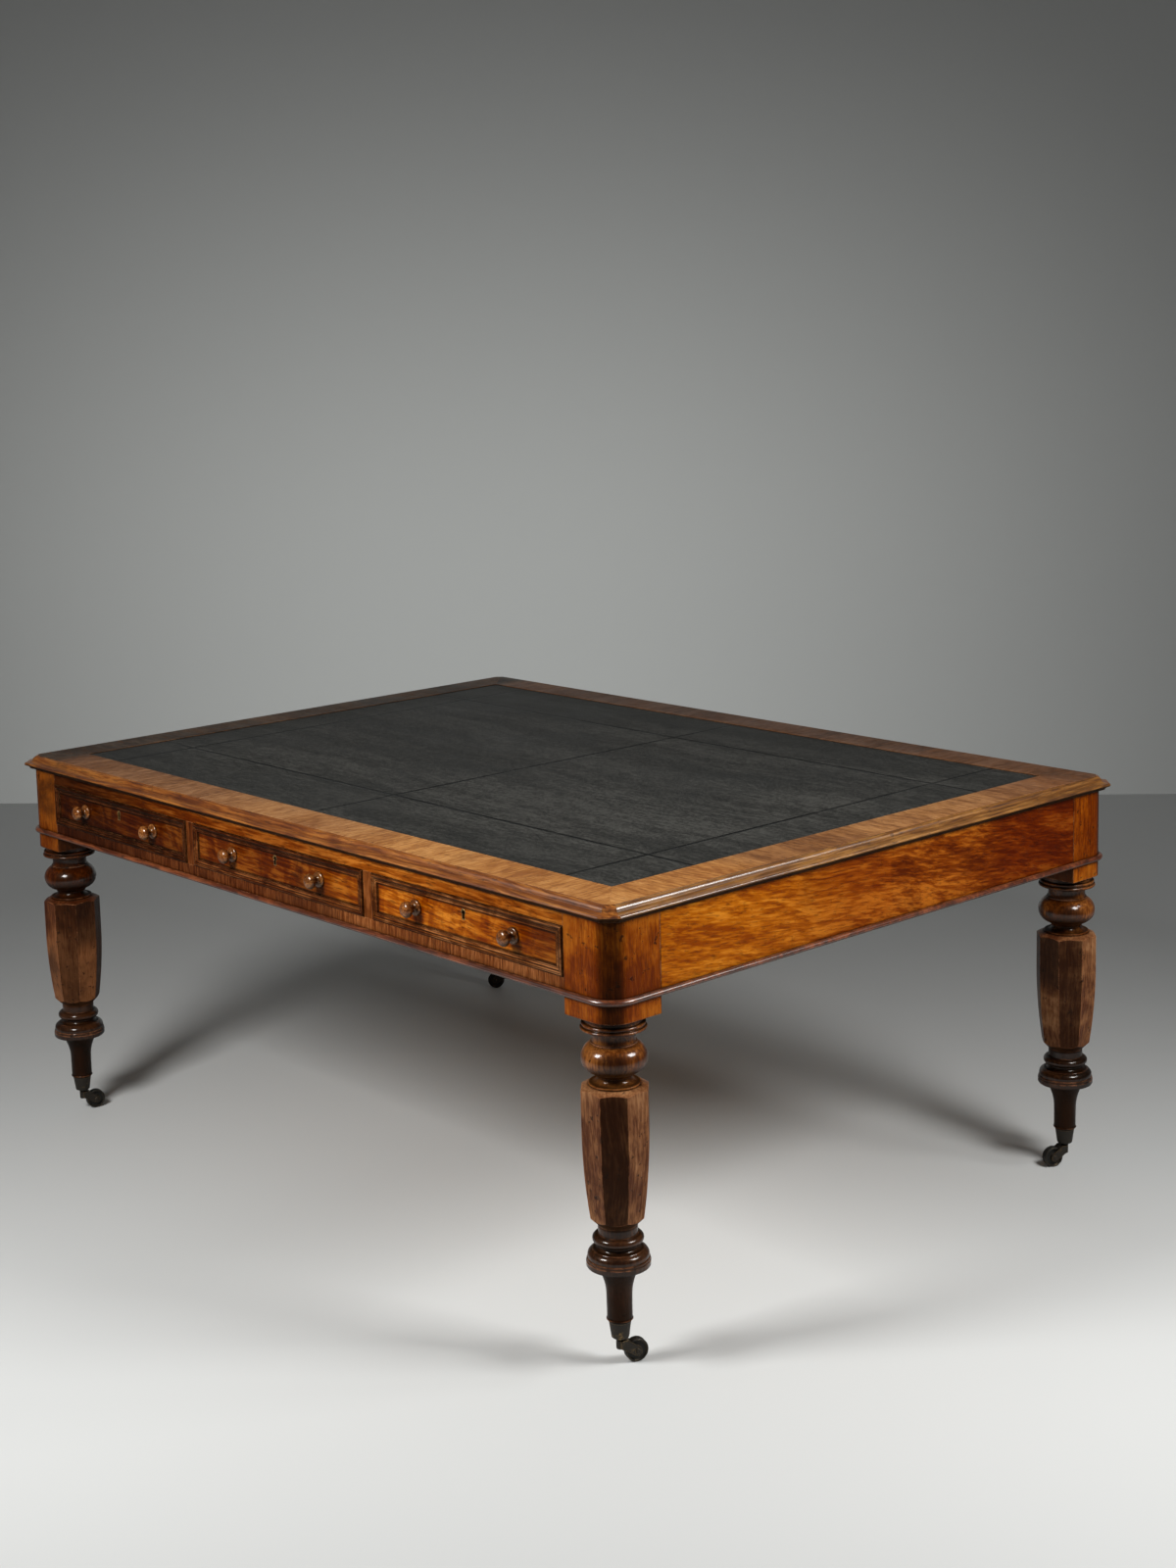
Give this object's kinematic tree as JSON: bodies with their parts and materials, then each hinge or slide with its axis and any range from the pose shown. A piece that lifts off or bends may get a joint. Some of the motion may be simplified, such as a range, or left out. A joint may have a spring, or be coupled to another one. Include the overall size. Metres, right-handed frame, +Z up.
{
  "type": "writing desk",
  "caption": "Partners' writing desk with a leather top, moulded edge, drawers with knobs in both long sides and turned legs on brass casters.",
  "frame": {"origin": "on the floor under the middle of the table", "axes": "+X along the table's length, -Y towards the front drawers, +Z up"},
  "size_m": [1.78, 1.33, 0.76],
  "materials": {
    "leather": "satin, dark green-black, worn, with tooled lines",
    "border_banding": "polished crossbanding, mid brown",
    "edge_wood": "glossy French polish, red-brown",
    "top_board_wood": "unpolished underside",
    "leg_wood": "glossy, dark red-brown, worn edges",
    "rail_wood": "polished, crossgrained",
    "end_rail_wood": "polished, orange-brown, horizontal grain",
    "bead_wood": "glossy, dark",
    "inner_wood": "sawn and planed, unpolished",
    "screw_steel": "dull, slightly rusted",
    "caster_brass": "old, darkened, bright on worn edges",
    "wheel_brass": "old, darkened, bright on the rim",
    "drawer_front_wood": "polished, figured, orange-brown",
    "drawer_box_wood": "planed, waxed",
    "knob_wood": "glossy, dark",
    "lock_brass": "aged"
  },
  "bodies": {
    "table": {"leather_writing_surface": "leather", "border_front": "border_banding", "border_back": "border_banding", "border_right": "border_banding", "border_left": "border_banding", "edge_moulding_front": "edge_wood", "edge_moulding_back": "edge_wood", "edge_moulding_right": "edge_wood", "edge_moulding_left": "edge_wood", "edge_moulding_corners": "edge_wood", "top_board": "top_board_wood", "leg_front_left": "leg_wood", "leg_front_right": "leg_wood", "leg_back_right": "leg_wood", "leg_back_left": "leg_wood", "front_top_rail": "rail_wood", "front_bottom_rail": "rail_wood", "back_top_rail": "rail_wood", "back_bottom_rail": "rail_wood", "drawer_dividers": "rail_wood", "left_end_rail": "end_rail_wood", "right_end_rail": "end_rail_wood", "frieze_bead": "bead_wood", "centre_bearer": "inner_wood", "drawer_runners_and_stops": "inner_wood", "drawer_kickers": "inner_wood", "top_screws": "screw_steel", "caster_cups": "caster_brass"},
    "front_left_drawer": {"front_left_drawer_front": "drawer_front_wood", "front_left_drawer_box": "drawer_box_wood", "front_left_drawer_knobs": "knob_wood", "front_left_drawer_lock": "lock_brass"},
    "front_middle_drawer": {"front_middle_drawer_front": "drawer_front_wood", "front_middle_drawer_box": "drawer_box_wood", "front_middle_drawer_knobs": "knob_wood", "front_middle_drawer_lock": "lock_brass"},
    "front_right_drawer": {"front_right_drawer_front": "drawer_front_wood", "front_right_drawer_box": "drawer_box_wood", "front_right_drawer_knobs": "knob_wood", "front_right_drawer_lock": "lock_brass"},
    "back_left_drawer": {"back_left_drawer_front": "drawer_front_wood", "back_left_drawer_box": "drawer_box_wood", "back_left_drawer_knobs": "knob_wood", "back_left_drawer_lock": "lock_brass"},
    "back_middle_drawer": {"back_middle_drawer_front": "drawer_front_wood", "back_middle_drawer_box": "drawer_box_wood", "back_middle_drawer_knobs": "knob_wood", "back_middle_drawer_lock": "lock_brass"},
    "back_right_drawer": {"back_right_drawer_front": "drawer_front_wood", "back_right_drawer_box": "drawer_box_wood", "back_right_drawer_knobs": "knob_wood", "back_right_drawer_lock": "lock_brass"},
    "caster_front_left": {"caster_fork_front_left": "caster_brass"},
    "wheel_front_left": {"caster_wheel_front_left": "wheel_brass"},
    "caster_front_right": {"caster_fork_front_right": "caster_brass"},
    "wheel_front_right": {"caster_wheel_front_right": "wheel_brass"},
    "caster_back_right": {"caster_fork_back_right": "caster_brass"},
    "wheel_back_right": {"caster_wheel_back_right": "wheel_brass"},
    "caster_back_left": {"caster_fork_back_left": "caster_brass"},
    "wheel_back_left": {"caster_wheel_back_left": "wheel_brass"}
  },
  "joints": [
    {"name": "front_left_drawer_slide", "type": "slide", "parent": "table", "child": "front_left_drawer", "axis": [0, -1, 0], "range_m": [0, 0.4]},
    {"name": "front_middle_drawer_slide", "type": "slide", "parent": "table", "child": "front_middle_drawer", "axis": [0, -1, 0], "range_m": [0, 0.4]},
    {"name": "front_right_drawer_slide", "type": "slide", "parent": "table", "child": "front_right_drawer", "axis": [0, -1, 0], "range_m": [0, 0.4]},
    {"name": "back_left_drawer_slide", "type": "slide", "parent": "table", "child": "back_left_drawer", "axis": [0, 1, 0], "range_m": [0, 0.4]},
    {"name": "back_middle_drawer_slide", "type": "slide", "parent": "table", "child": "back_middle_drawer", "axis": [0, 1, 0], "range_m": [0, 0.4]},
    {"name": "back_right_drawer_slide", "type": "slide", "parent": "table", "child": "back_right_drawer", "axis": [0, 1, 0], "range_m": [0, 0.4]},
    {"name": "caster_front_left_swivel", "type": "hinge", "parent": "table", "child": "caster_front_left", "pos_m": [-0.823, -0.584, 0.046], "axis": [0, 0, 1], "continuous": true},
    {"name": "wheel_front_left_spin", "type": "hinge", "parent": "caster_front_left", "child": "wheel_front_left", "pos_m": [-0.81804, -0.55848, 0.019], "axis": [-0.9816, 0.1908, 0], "continuous": true},
    {"name": "caster_front_right_swivel", "type": "hinge", "parent": "table", "child": "caster_front_right", "pos_m": [0.823, -0.584, 0.046], "axis": [0, 0, 1], "continuous": true},
    {"name": "wheel_front_right_spin", "type": "hinge", "parent": "caster_front_right", "child": "wheel_front_right", "pos_m": [0.83274, -0.55989, 0.019], "axis": [-0.9272, 0.3746, 0], "continuous": true},
    {"name": "caster_back_right_swivel", "type": "hinge", "parent": "table", "child": "caster_back_right", "pos_m": [0.823, 0.584, 0.046], "axis": [0, 0, 1], "continuous": true},
    {"name": "wheel_back_right_spin", "type": "hinge", "parent": "caster_back_right", "child": "wheel_back_right", "pos_m": [0.81242, 0.56025, 0.019], "axis": [0.9135, -0.4067, 0], "continuous": true},
    {"name": "caster_back_left_swivel", "type": "hinge", "parent": "table", "child": "caster_back_left", "pos_m": [-0.823, 0.584, 0.046], "axis": [0, 0, 1], "continuous": true},
    {"name": "wheel_back_left_spin", "type": "hinge", "parent": "caster_back_left", "child": "wheel_back_left", "pos_m": [-0.8443, 0.56909, 0.019], "axis": [0.5736, -0.8192, 0], "continuous": true}
  ]
}
